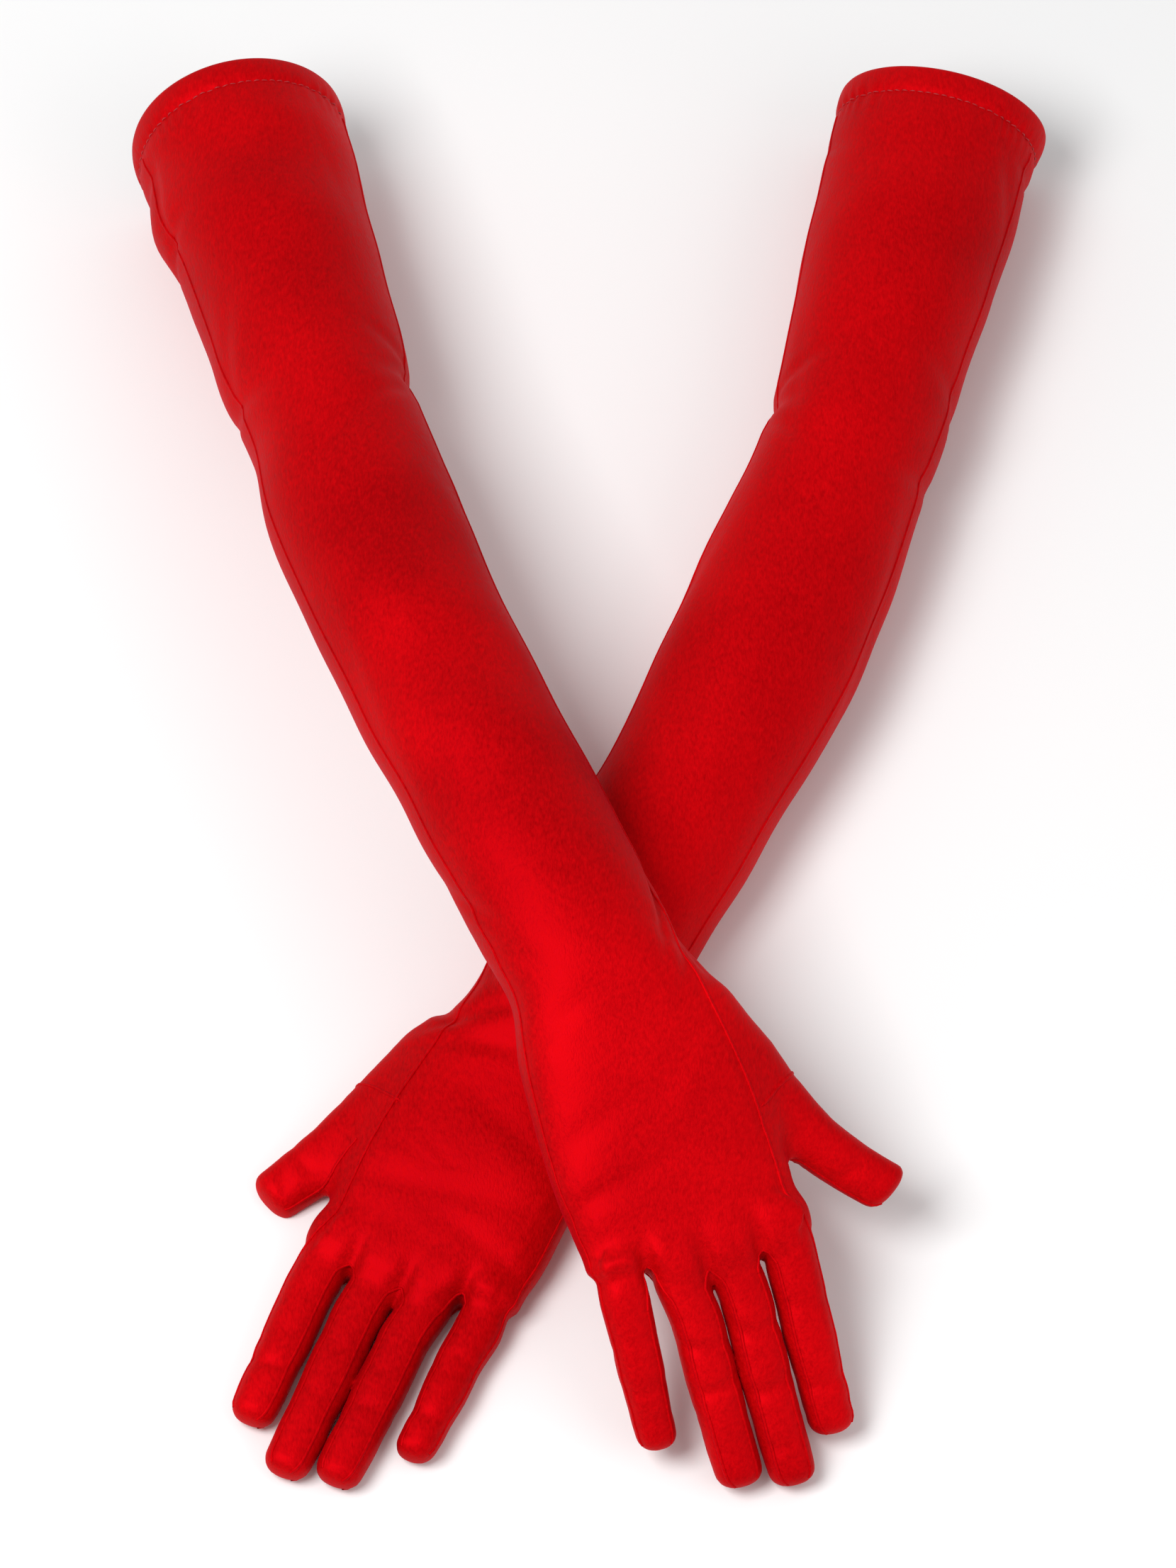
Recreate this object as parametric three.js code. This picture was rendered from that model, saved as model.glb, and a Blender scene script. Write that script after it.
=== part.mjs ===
// A pair of elbow-length satin gloves, filled out as if worn and laid palm down.
// The left glove lies flat. The right glove crosses over its forearm and comes
// down again to its fingertips. Millimetres, +Z up, fingers towards -Y.
import * as THREE from 'three';

// ---- Cloth ----
const CLOTH = 1.3; // satin and its backing, one layer
const SEAM_GAP = 0.35; // clearance between panels that meet at a seam
const ELASTIC_THICKNESS = 0.8;
const FACING_THICKNESS = 0.8; // the turned-in edge of the hem
const ARM_SETTLING = 1.6; // how far a lying arm is flattened by what it rests on
const FINGER_SETTLING = 0.8;

// ---- Hem at the cuff, measured from the rim ----
const FACING_SPAN = [1.5, 14];
const ELASTIC_SPAN = [4, 11];

// ---- Arm of one glove: [distance from rim, width, height, squareness] ----
const ARM_SHAPE = [
  [0, 78, 72, 2],
  [70, 72, 68, 2],
  [140, 63, 59, 2],
  [240, 65, 56, 2],
  [335, 63, 50, 2],
  [385, 60, 43, 2.1],
  [412, 70, 34, 2.4],
  [450, 76, 27, 2.7],
  [495, 74, 19.5, 3.4],
];
const ELBOW_AT = 140;
const WRIST_AT = 385;
const WEB_AT = 495; // where the fingers leave the palm
const LYING_CUFF_HEIGHT = 60; // the flat glove's cuff is pressed lower by its own weight

// ---- Fingers: sideways place on the palm's end, + towards the thumb ----
const FINGERS = [
  { name: 'index', offset: 27.4, width: 17.6, length: 64, splay: -3, slope: 32, walls: ['ulnar'] },
  { name: 'middle', offset: 9.1, width: 17.8, length: 73, splay: -2.5, slope: 30, walls: ['thumb', 'ulnar'] },
  { name: 'ring', offset: -9.2, width: 17.6, length: 68, splay: -2, slope: 31, walls: ['thumb', 'ulnar'] },
  { name: 'little', offset: -27.1, width: 16.8, length: 51, splay: -4, slope: 36, walls: ['thumb'] },
];
// [share of length, share of root width, height]
const FINGER_SHAPE = [
  [0, 1, 16],
  [0.25, 0.98, 15.6],
  [0.5, 0.95, 15],
  [0.7, 0.91, 14.4],
  [0.85, 0.83, 12.4],
  [0.95, 0.65, 8.6],
  [1, 0.42, 3.8],
];
const FINGER_SQUARENESS = 2.5;
const WALL_ANGLE = 42; // half the arc of a finger's side wall at its root, degrees
const WALL_END = 0.86; // share of the finger's length that the side walls reach
const WALL_TRIM = 2; // degrees kept clear at a side wall's two seams

// ---- Thumb: [share of length, width, height] ----
const THUMB_SHAPE = [
  [0, 33, 22],
  [0.25, 24, 19.5],
  [0.5, 20.5, 17],
  [0.75, 18.6, 15.2],
  [0.9, 15.4, 11.8],
  [1, 8.5, 3.8],
];
const THUMB_LENGTH = 62;
const THUMB_PAST_WRIST = 37; // the middle of its opening
const THUMB_CLEARANCE = 1.4; // between its root and the widest line of the hand
const THUMB_DROP = 2; // its root sits this far below the middle of the hand
const THUMB_TURN_END = 0.8; // share of its length over which its sections turn square to it
const THUMB_EYE = { angle: 44, start: 16, end: 58 }; // the opening it is sewn into

// ---- Where each glove lies: its middle line through cuff, elbow, forearm, wrist and web ----
const GLOVES = [
  {
    name: 'left',
    thumbSide: -1,
    lying: true,
    line: [[128, 257, 0], [94, 123, 0], [62, 34, 0], [42, -8, 0], [-9, -98, 0], [-62, -201, 0]],
    fingerHeading: 24,
    thumbHeading: 47,
    thumbSlope: 0,
  },
  {
    name: 'right',
    thumbSide: 1,
    lying: false,
    line: [[-126, 247, 35.6], [-90, 115, 56], [-53, 17, 70], [-15, -70, 77], [4, -117, 73], [39, -210, 43]],
    fingerHeading: 18,
    thumbHeading: 57,
    thumbSlope: 22,
  },
];
// Moves the pair so that the middle of its outline stands on the origin.
const CENTRE_SHIFT = [-1.09, 2.37, 0];

// ---- Mesh fineness ----
const ARM_ARC_STEPS = 10;
const HAND_ARC_STEPS = 12;
const FINGER_ARC_STEPS = 4;
const WALL_ARC_STEPS = 2;
const RING_STEPS = 24;
const UPPER_SECTIONS = 6;
const FOREARM_SECTIONS = 10;
const HAND_SECTIONS = 9;

const UP = new THREE.Vector3(0, 0, 1);
const SATIN = { color: 0xc4060c, roughness: 0.36, metalness: 0 };
const FACING = { color: 0xb0060c, roughness: 0.5, metalness: 0 };
const ELASTIC = { color: 0xe9e4dc, roughness: 0.8, metalness: 0 };

const group = new THREE.Group();
group.userData.hinges = {};

function degrees(angle) {
  return THREE.MathUtils.degToRad(angle);
}

// Straight-line reading of a table whose rows start with the distance.
function readShape(rows, distance) {
  const last = rows.length - 1;
  const after = Math.min(Math.max(rows.findIndex((row) => row[0] > distance), 1), last);
  const upper = distance >= rows[last][0] ? rows[last] : rows[after];
  const lower = distance >= rows[last][0] ? rows[last] : rows[after - 1];
  const share = upper === lower ? 0 : (distance - lower[0]) / (upper[0] - lower[0]);
  return lower.map((value, column) => THREE.MathUtils.lerp(value, upper[column], share));
}

// A point of a section. angle 0 is the thumb side, 90 the back, 180 the little-finger side.
function sectionPoint(section, angle, inset) {
  const power = 2 / section.squareness;
  const cosine = Math.cos(degrees(angle));
  const sine = Math.sin(degrees(angle));
  const halfWidth = section.width / 2 - inset;
  const halfHeight = section.height / 2 - inset;
  const sideways = Math.sign(cosine) * Math.abs(cosine) ** power * halfWidth;
  const upwards = Math.sign(sine) * Math.abs(sine) ** power * halfHeight;
  const point = section.centre.clone();
  point.addScaledVector(section.across, sideways);
  point.addScaledVector(section.over, upwards);
  return point;
}

// One layer of cloth over a row of sections, between two angles that may vary
// along it. lift shifts the panel off the one it is sewn to.
function panelGeometry(sections, arc, { steps, inset = 0, thickness = CLOTH, lift = 0, ring = false }) {
  const columns = ring ? steps : steps + 1;
  const positions = [];
  for (const layer of [inset, inset + thickness]) {
    for (const section of sections) {
      const [from, to] = arc(section);
      for (let column = 0; column < columns; column += 1) {
        const point = sectionPoint(section, from + ((to - from) * column) / steps, layer);
        point.addScaledVector(section.over, lift);
        point.z = Math.max(point.z, layer);
        positions.push(point.x, point.y, point.z);
      }
    }
  }
  const rows = sections.length;
  const at = (layer, row, column) => (layer * rows + row) * columns + (column % columns);
  const triangles = [];
  const quad = (a, b, c, d) => triangles.push(a, b, c, a, c, d);
  for (let row = 0; row < rows - 1; row += 1) {
    for (let column = 0; column < steps; column += 1) {
      quad(at(0, row, column), at(0, row + 1, column), at(0, row + 1, column + 1), at(0, row, column + 1));
      quad(at(1, row, column), at(1, row, column + 1), at(1, row + 1, column + 1), at(1, row + 1, column));
    }
    if (!ring) {
      quad(at(0, row, 0), at(1, row, 0), at(1, row + 1, 0), at(0, row + 1, 0));
      quad(at(0, row, steps), at(0, row + 1, steps), at(1, row + 1, steps), at(1, row, steps));
    }
  }
  const end = rows - 1;
  for (let column = 0; column < steps; column += 1) {
    quad(at(0, 0, column), at(0, 0, column + 1), at(1, 0, column + 1), at(1, 0, column));
    quad(at(0, end, column), at(1, end, column), at(1, end, column + 1), at(0, end, column + 1));
  }
  return closedGeometry(positions, triangles);
}

// Turns the faces outwards: left and right gloves are mirror images.
function closedGeometry(positions, triangles) {
  let volume = 0;
  const corner = (index) => new THREE.Vector3().fromArray(positions, 3 * index);
  for (let i = 0; i < triangles.length; i += 3) {
    const [a, b, c] = triangles.slice(i, i + 3).map(corner);
    volume += a.dot(b.cross(c));
  }
  const outward = volume > 0 ? triangles : triangles.slice().reverse();
  const geometry = new THREE.BufferGeometry();
  geometry.setAttribute('position', new THREE.Float32BufferAttribute(positions, 3));
  geometry.setIndex(outward);
  geometry.computeVertexNormals();
  return geometry;
}

function addMesh(name, geometry, finish) {
  const mesh = new THREE.Mesh(geometry, new THREE.MeshStandardMaterial(finish));
  mesh.name = name;
  group.add(mesh);
}

// Back and palm panels that meet along both sides of a tube.
function addBackAndPalm(name, sections, steps, thumbGap = () => 0, ulnarGap = () => 0) {
  const lift = SEAM_GAP / 2;
  const back = (section) => [thumbGap(section), 180 - ulnarGap(section)];
  const palm = (section) => [180 + ulnarGap(section), 360 - thumbGap(section)];
  addMesh(`${name}_back`, panelGeometry(sections, back, { steps, lift }), SATIN);
  addMesh(`${name}_palm`, panelGeometry(sections, palm, { steps, lift: -lift }), SATIN);
}

// The middle line of a glove and the frame of any section of its arm.
function makeArm(glove) {
  const points = glove.line.map((place) => new THREE.Vector3(...place));
  const curve = new THREE.CatmullRomCurve3(points, false, 'centripetal');
  return function armSection(distance) {
    const share = Math.min(distance / WEB_AT, 1);
    const [, width, height, squareness] = readShape(ARM_SHAPE, distance);
    const centre = curve.getPointAt(share);
    const along = curve.getTangentAt(share);
    const pressed = LYING_CUFF_HEIGHT / ARM_SHAPE[0][2];
    const cuffShare = 1 - Math.min(distance / ELBOW_AT, 1);
    const sectionHeight = glove.lying ? height * THREE.MathUtils.lerp(1, pressed, cuffShare) : height;
    if (glove.lying) {
      along.setZ(0).normalize();
      centre.z = sectionHeight / 2 - ARM_SETTLING;
    }
    const across = UP.clone().cross(along).normalize();
    const over = along.clone().cross(across);
    across.multiplyScalar(glove.thumbSide);
    return { distance, centre, along, across, over, width, height: sectionHeight, squareness };
  };
}

// Evenly spaced sections between two distances, kept clear of the next piece.
function sectionsBetween(armSection, from, to, count) {
  const start = from + SEAM_GAP / 2;
  const finish = to - SEAM_GAP / 2;
  return Array.from({ length: count }, (_, i) => armSection(start + ((finish - start) * i) / (count - 1)));
}

function addRing(name, armSection, span, inset, thickness, finish) {
  const sections = span.map((distance) => armSection(distance));
  const arc = () => [0, 360];
  addMesh(name, panelGeometry(sections, arc, { steps: RING_STEPS, inset, thickness, ring: true }), finish);
}

function addUpperSleeve(glove, armSection) {
  const sections = sectionsBetween(armSection, 0, ELBOW_AT, UPPER_SECTIONS);
  addBackAndPalm(`${glove.name}_upper_sleeve`, sections, ARM_ARC_STEPS);
  const elasticInset = CLOTH + SEAM_GAP;
  const facingInset = elasticInset + ELASTIC_THICKNESS + SEAM_GAP;
  const name = `${glove.name}_cuff`;
  addRing(`${name}_elastic`, armSection, ELASTIC_SPAN, elasticInset, ELASTIC_THICKNESS, ELASTIC);
  addRing(`${name}_hem_facing`, armSection, FACING_SPAN, facingInset, FACING_THICKNESS, FACING);
}

function addHand(glove, armSection) {
  const sections = sectionsBetween(armSection, WRIST_AT, WEB_AT, HAND_SECTIONS);
  const eye = (section) => {
    const past = section.distance - WRIST_AT;
    const share = THREE.MathUtils.clamp((past - THUMB_EYE.start) / (THUMB_EYE.end - THUMB_EYE.start), 0, 1);
    return THUMB_EYE.angle * Math.sin(Math.PI * share);
  };
  addBackAndPalm(`${glove.name}_hand`, sections, HAND_ARC_STEPS, eye);
}

// Direction in plan: heading is measured from -Y, towards the thumb side.
function direction(glove, heading, slope) {
  const flat = Math.cos(degrees(slope));
  const sideways = Math.sin(degrees(heading)) * flat * glove.thumbSide;
  return new THREE.Vector3(sideways, -Math.cos(degrees(heading)) * flat, -Math.sin(degrees(slope)));
}

function fingerSections(glove, web, finger) {
  const slope = glove.lying ? 0 : finger.slope;
  const along = direction(glove, glove.fingerHeading + finger.splay, slope);
  const root = web.centre.clone().addScaledVector(web.across, finger.offset);
  root.addScaledVector(web.along, SEAM_GAP);
  return FINGER_SHAPE.map(([share, widthShare, height]) => {
    const centre = root.clone().addScaledVector(along, finger.length * share);
    if (glove.lying) centre.z = height / 2 - FINGER_SETTLING;
    const turned = Math.min(share * 4, 1);
    const squareAcross = UP.clone().cross(along).normalize().multiplyScalar(glove.thumbSide);
    const across = web.across.clone().lerp(squareAcross, turned).normalize();
    const squareOver = along.clone().cross(UP.clone().cross(along)).normalize();
    const over = web.over.clone().lerp(squareOver, turned).normalize();
    const width = finger.width * widthShare;
    return { share, centre, across, over, width, height, squareness: FINGER_SQUARENESS };
  });
}

function addFinger(glove, web, finger) {
  const name = `${glove.name}_${finger.name}`;
  const sections = fingerSections(glove, web, finger);
  const taper = (section) => WALL_ANGLE * Math.sqrt(Math.max(1 - section.share / WALL_END, 0));
  const gapOn = (side) => (finger.walls.includes(side) ? taper : () => 0);
  addBackAndPalm(name, sections, FINGER_ARC_STEPS, gapOn('thumb'), gapOn('ulnar'));
  const reach = sections.filter((section) => section.share < WALL_END - 0.1);
  for (const side of finger.walls) {
    const middle = side === 'thumb' ? 0 : 180;
    const arc = (section) => {
      const half = taper(section) - WALL_TRIM;
      return [middle - half, middle + half];
    };
    addMesh(`${name}_fourchette_${side}_side`, panelGeometry(reach, arc, { steps: WALL_ARC_STEPS }), SATIN);
  }
  addHinge(`${name}_lift`, topOf(sections[0]), web.along.clone().setZ(0).cross(UP));
}

function addThumb(glove, armSection) {
  const hand = armSection(WRIST_AT + THUMB_PAST_WRIST);
  const along = direction(glove, glove.thumbHeading, glove.thumbSlope);
  const root = hand.centre.clone().addScaledVector(hand.across, hand.width / 2 + THUMB_CLEARANCE);
  root.addScaledVector(hand.over, -THUMB_DROP);
  const squareAcross = UP.clone().cross(along).normalize().multiplyScalar(glove.thumbSide);
  const squareOver = along.clone().cross(UP.clone().cross(along)).normalize();
  const rootAcross = hand.along.clone().negate();
  const sections = THUMB_SHAPE.map(([share, width, height]) => {
    const turned = THREE.MathUtils.smoothstep(share, 0, THUMB_TURN_END);
    const centre = root.clone().addScaledVector(along, THUMB_LENGTH * share);
    if (glove.lying) centre.z = height / 2 - FINGER_SETTLING;
    const across = rootAcross.clone().lerp(squareAcross, turned).normalize();
    const over = hand.over.clone().lerp(squareOver, turned).normalize();
    return { share, centre, across, over, width, height, squareness: FINGER_SQUARENESS };
  });
  addBackAndPalm(`${glove.name}_thumb`, sections, FINGER_ARC_STEPS + 2);
  addHinge(`${glove.name}_thumb_lift`, topOf(sections[0]), hand.across.clone().setZ(0).cross(UP));
}

function topOf(section) {
  return section.centre.clone().addScaledVector(section.over, section.height / 2 + SEAM_GAP);
}

// A fold line: a point on it and its direction.
function addHinge(name, point, axis) {
  group.userData.hinges[name] = { point, axis: axis.normalize() };
}

// The sleeve and the hand swing towards the thumb side, about the edge of the tube there.
function addSideHinge(glove, name, section, sense) {
  const point = section.centre.clone().addScaledVector(section.across, section.width / 2 + SEAM_GAP);
  addHinge(`${glove.name}_${name}`, point, section.over.clone().multiplyScalar(sense * glove.thumbSide));
}

function addGlove(glove) {
  const armSection = makeArm(glove);
  addUpperSleeve(glove, armSection);
  const forearm = sectionsBetween(armSection, ELBOW_AT, WRIST_AT, FOREARM_SECTIONS);
  addBackAndPalm(`${glove.name}_forearm`, forearm, ARM_ARC_STEPS);
  addHand(glove, armSection);
  const web = armSection(WEB_AT);
  for (const finger of FINGERS) addFinger(glove, web, finger);
  addThumb(glove, armSection);
  addSideHinge(glove, 'elbow_bend', armSection(ELBOW_AT), -1);
  addSideHinge(glove, 'wrist_bend', armSection(WRIST_AT), 1);
}

GLOVES.forEach(addGlove);
group.position.set(...CENTRE_SHIFT);

export default group;
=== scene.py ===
"""A pair of red satin opera gloves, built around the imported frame.

Each glove is worked out in its own straightened space: a runs across the glove
towards the thumb, s along it from the cuff's rim, and o up towards the back of
the hand. A surface is drawn there from rounded tubes, creased, and then bent
into place along the glove's middle line. Lengths are millimetres until the
last step, which writes metres.
"""

import math

import bpy
import numpy as np
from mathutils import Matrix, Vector
from mathutils.bvhtree import BVHTree


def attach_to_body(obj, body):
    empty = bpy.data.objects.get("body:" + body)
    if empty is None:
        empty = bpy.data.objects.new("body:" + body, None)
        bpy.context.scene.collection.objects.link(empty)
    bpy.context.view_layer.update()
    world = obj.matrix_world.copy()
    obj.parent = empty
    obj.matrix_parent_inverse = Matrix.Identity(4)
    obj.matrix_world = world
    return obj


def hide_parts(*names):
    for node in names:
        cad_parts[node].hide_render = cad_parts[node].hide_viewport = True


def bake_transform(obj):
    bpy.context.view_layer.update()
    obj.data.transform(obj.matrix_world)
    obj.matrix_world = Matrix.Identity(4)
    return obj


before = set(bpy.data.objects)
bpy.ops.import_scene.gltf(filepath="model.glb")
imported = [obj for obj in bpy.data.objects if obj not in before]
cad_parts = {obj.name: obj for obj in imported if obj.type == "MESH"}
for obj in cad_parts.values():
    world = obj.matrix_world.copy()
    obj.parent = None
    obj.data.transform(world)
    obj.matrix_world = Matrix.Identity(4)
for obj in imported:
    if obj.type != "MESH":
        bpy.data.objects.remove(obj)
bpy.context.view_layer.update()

MM = 0.001

# ---- The arm of a glove: distance from the rim, width, height, squareness ----
ARM_SHAPE = np.array([
    [0, 78, 72, 2.0],
    [70, 72, 68, 2.0],
    [140, 63, 59, 2.0],
    [240, 65, 56, 2.0],
    [335, 63, 50, 2.0],
    [385, 60, 43, 2.1],
    [412, 70, 34, 2.4],
    [450, 76, 27, 2.7],
    [495, 73, 17.2, 3.2],
])
ELBOW_AT = 140.0
WRIST_AT = 385.0
WEB_AT = 495.0
LITTLE_WEB_BACK = 8.0  # the web beside the little finger lies this much nearer the wrist
LYING_CUFF_SHARE = 60.0 / 72.0
ARM_SETTLING = 1.6
FINGER_SETTLING = 0.8

# ---- Fingers: offset across the palm, width, length, splay, slope, and bend ----
FINGERS = [
    dict(name="index", offset=28.3, width=17.4, taper=0.95, length=63.5, splay=-3.0, slope=32),
    dict(name="middle", offset=9.2, width=17.2, taper=1.0, length=75, splay=-2.5, slope=30),
    dict(name="ring", offset=-9.4, width=17.2, taper=1.0, length=70, splay=-2.0, slope=31),
    dict(name="little", offset=-28.6, width=16.4, taper=0.86, length=50.5, splay=-4.0, slope=36),
]
# How far each fingertip curves towards the thumb side, and how far the whole finger stands to that
# side, which closes the gap beside it
BOWS_AND_LEANS = {
    "right": {"index": (1.6, 0.3), "middle": (2.0, 1.7), "ring": (2.3, 2.4), "little": (1.5, 0.4)},
    "left": {"index": (0.8, 1.2), "middle": (1.3, 1.7), "ring": (1.8, 2.3), "little": (3.2, 1.9)},
}
FINGER_SHAPE = np.array([
    [-8, 0.98, 15.0],
    [0, 1.00, 15.6],
    [0.30, 0.98, 15.0],
    [0.48, 1.00, 15.0],
    [0.68, 0.93, 14.2],
    [0.80, 0.95, 13.6],
    [1.0, 0.88, 12.0],
])
THUMB_SHAPE = np.array([
    [-20, 24, 19],
    [-6, 25.5, 20],
    [6, 24, 19.5],
    [20, 21, 17.5],
    [32, 18.5, 16.2],
    [44, 18.5, 15.6],
    [62, 17.5, 13.4],
])
FINGER_BLUNTNESS = 7.0  # length of the rounded tip
THUMB_BLUNTNESS = 5.0
TUBE_SQUARENESS = 2.4
TIP_ROUNDING = 2.5
ROOT_CAP = 8.0  # length of the rounded end behind a tube's root
LYING_FINGER_HEIGHT = 16.0
LYING_DROOP = 0.3
RAISED_DROOP = 1.5
THUMB_PAST_WRIST = 37.0
THUMB_TUCK = 1.5
THUMB_DROP = 5.0

GLOVES = [
    dict(
        name="left", thumb_side=-1, lying=True, seed=11,
        line=[[128, 257, 0], [94, 123, 0], [62, 34, 0], [42, -8, 0], [-9, -98, 0], [-62, -201, 0]],
        finger_heading=24.0, thumb_heading=49.5, thumb_slope=0.0, thumb_length=60.5,
        thumb_forward=5.0, thumb_curl=5.0,
    ),
    dict(
        name="right", thumb_side=1, lying=False, seed=23,
        line=[[-126, 247, 35.6], [-90, 115, 56], [-53, 17, 70], [-15, -70, 77], [4, -117, 73],
              [39, -210, 43]],
        finger_heading=18.0, thumb_heading=57.0, thumb_slope=22.0, thumb_length=63.0,
        thumb_forward=13.0, thumb_curl=15.0,
    ),
]
CENTRE_SHIFT = np.array([-1.09, 2.37, 0.0])

# ---- How the cloth lies beside the arm's line: distance from the rim, then millimetres ----
SWAY = {  # towards the thumb side
    "right": [[0, 0], [60, 0.6], [110, 1.2], [147, -0.4], [180, -2.6], [212, -3.8], [250, -4.7], [310, -4.4],
              [343, -3.6], [376, -1.4], [395, -0.4], [420, 0], [600, 0]],
    "left": [[0, 1.0], [80, 1.6], [147, 1.3], [180, 1.2], [212, 1.8], [250, 1.7], [300, 0.8],
             [350, 0], [600, 0]],
}
FULLNESS = {  # added to the width
    "right": [[0, 0], [80, -1.6], [120, 0], [147, -1.4], [180, 2.0], [212, 0.4], [250, -1.8], [320, -1.4],
              [385, 0.4], [440, 1.0], [470, 0.6], [495, -4.0], [600, -4.0]],
    "left": [[0, -3.4], [30, -3.0], [80, -2.8], [120, -1.8], [147, -2.2], [180, 2.0], [212, 3.6], [245, 2.0],
             [280, -1.6], [340, 0], [388, -1.6], [420, -0.6], [465, 0.2], [495, -4.0], [600, -4.0]],
}

# ---- Where the cloth is divided between bodies ----
SLEEVE_END = 348.0
WRIST_END = 413.0
FINGER_START = 500.0
THUMB_START = 20.0
ARM_BENDS = {  # the two bodies a piece bends between, and where along the glove it does so
    "sleeve": ("forearm", "upper_sleeve", (170.0, 112.0)),
    "wrist": ("forearm", "hand", (362.0, 406.0)),
}
# How far a bend's line is turned from the finger's, where on it the bend starts, and its length.
# The thumb's seam to the hand runs aslant, and its bend's line is square to that seam.
FINGER_BLEND = (0.0, FINGER_START - WEB_AT + 1.5, 20.0)
THUMB_BLEND = {"left": (49.0, 22.5, 17.0), "right": (27.0, 22.5, 28.0)}
THUMB_REACH = 1.5  # cloth farther than this from the thumb's own tube belongs to the hand

# ---- How softly the tubes of the hand run into each other ----
WEB_BACK = 3.0  # the webs lie this much nearer the wrist than the end of the arm's line
LITTLE_WEB_SPAN = (8.0, 20.0)
HAND_PAST_WEB = 4.0
STEEPEST = 30.0
BEFORE_HAND = 20.0  # the fingers count only from this far before the wrist
WEB_TAPER = 7.0
WEB_FILLET = 1.6
KNUCKLE_FILLET = 7.0
THUMB_FILLET = 9.0

# ---- Fineness of the drawn surface ----
ACROSS_STEP = 18.25 / 15
HEIGHT_STEP = 1.2
HAND_STEP = 1.15
ACROSS_CELLS = (-38, 76)
ACROSS_NUDGE = 0.05  # keeps the grid's lines off the glove's middle
HEIGHT_CELLS = (-30, 31)
GRID_END = 592.0
CELLS_BEFORE_SLEEVE = 8
RELAX_ROUNDS = 3
RELAX_STRENGTH = 0.5
RELAX_RETURN = 0.94

# ---- The hem: the cloth turned in over an elastic tape and stitched down ----
RIM_AT = -5.0  # the rim stands this far past the end of the arm's line
STITCH_LINE = 11.5
HEM_OUTSIDE = [  # distance from the rim, and how far the cloth stands off the arm's line
    [22, 0.0], [18, 0.0], [15, -0.08], [13, -0.3], [12, -0.55], [11.5, -0.65], [11, -0.5], [10, -0.05],
    [8.5, 0.3], [7, 0.4], [5.5, 0.42], [4, 0.38], [2.5, 0.25], [1.4, 0.05], [0.6, -0.3], [0.15, -0.8],
    [0.0, -1.3],
]
HEM_INSIDE = [
    [0.0, -1.3], [0.2, -1.9], [0.8, -2.5], [2, -2.85], [4, -3.0], [7, -3.0], [9.5, -2.7], [11.5, -2.3],
    [12.6, -2.4], [13.6, -2.7], [13.9, -2.4], [13.6, -2.1],
]
TAPE_DEPTH = 1.4
TAPE_THICKNESS = 0.7
TAPE_SPAN = (4.0, 10.5)
TAPE_STEP = 0.25
TAPE_RIB = 0.12
PUCKERS = 46
LOFT_STEP = 2.6
STITCH_LENGTH = 2.1
STITCH_GAP = 0.8
STITCH_RADIUS = 0.28
SEAM_WIDTH = 0.62
SEAM_HEIGHT = 0.44
SEAM_STEP = 1.9
FLOOR_CLEARANCE = 0.15


def smoothstep(x, low, high):
    t = np.clip((x - low) / (high - low), 0.0, 1.0)
    return t * t * (3 - 2 * t)


def signed_power(x, power):
    return np.sign(x) * np.abs(x) ** power


def unit(vector):
    vector = np.asarray(vector, float)
    return vector / np.linalg.norm(vector, axis=-1, keepdims=True)


def rounded(x, y, n):
    """Distance from the middle of a rounded square; n = 2 is a circle."""
    return (np.abs(x) ** n + np.abs(y) ** n) ** (1 / n)


def path_length(path):
    """How far along the path each of its points is."""
    return np.concatenate([[0], np.cumsum(np.linalg.norm(np.diff(path, axis=0), axis=1))])


def read_columns(at, known, table):
    """Each column of the table read at these places."""
    return np.stack([np.interp(at, known, column) for column in table.T], -1)


def sum_by_index(index, rows, count):
    """The sum of the rows that share each index."""
    return np.stack([np.bincount(index, column, count) for column in rows.T], 1)


def catmull_rom(points, steps=200):
    """Centripetal Catmull-Rom curve through the points, sampled densely."""
    points = np.asarray(points, float)
    first = 2 * points[0] - points[1]
    last = 2 * points[-1] - points[-2]
    padded = np.vstack([first, points, last])
    pieces = []
    for i in range(len(points) - 1):
        p0, p1, p2, p3 = padded[i:i + 4]
        d0, d1, d2 = (math.sqrt(np.linalg.norm(q - p)) for p, q in ((p0, p1), (p1, p2), (p2, p3)))
        t1 = ((p1 - p0) / d0 - (p2 - p0) / (d0 + d1) + (p2 - p1) / d1) * d1
        t2 = ((p2 - p1) / d1 - (p3 - p1) / (d1 + d2) + (p3 - p2) / d2) * d1
        t = np.linspace(0, 1, steps, endpoint=(i == len(points) - 2))[:, None]
        cubic = 2 * p1 - 2 * p2 + t1 + t2
        square = -3 * p1 + 3 * p2 - 2 * t1 - t2
        pieces.append(p1 + t1 * t + square * t**2 + cubic * t**3)
    return np.vstack(pieces)


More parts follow.
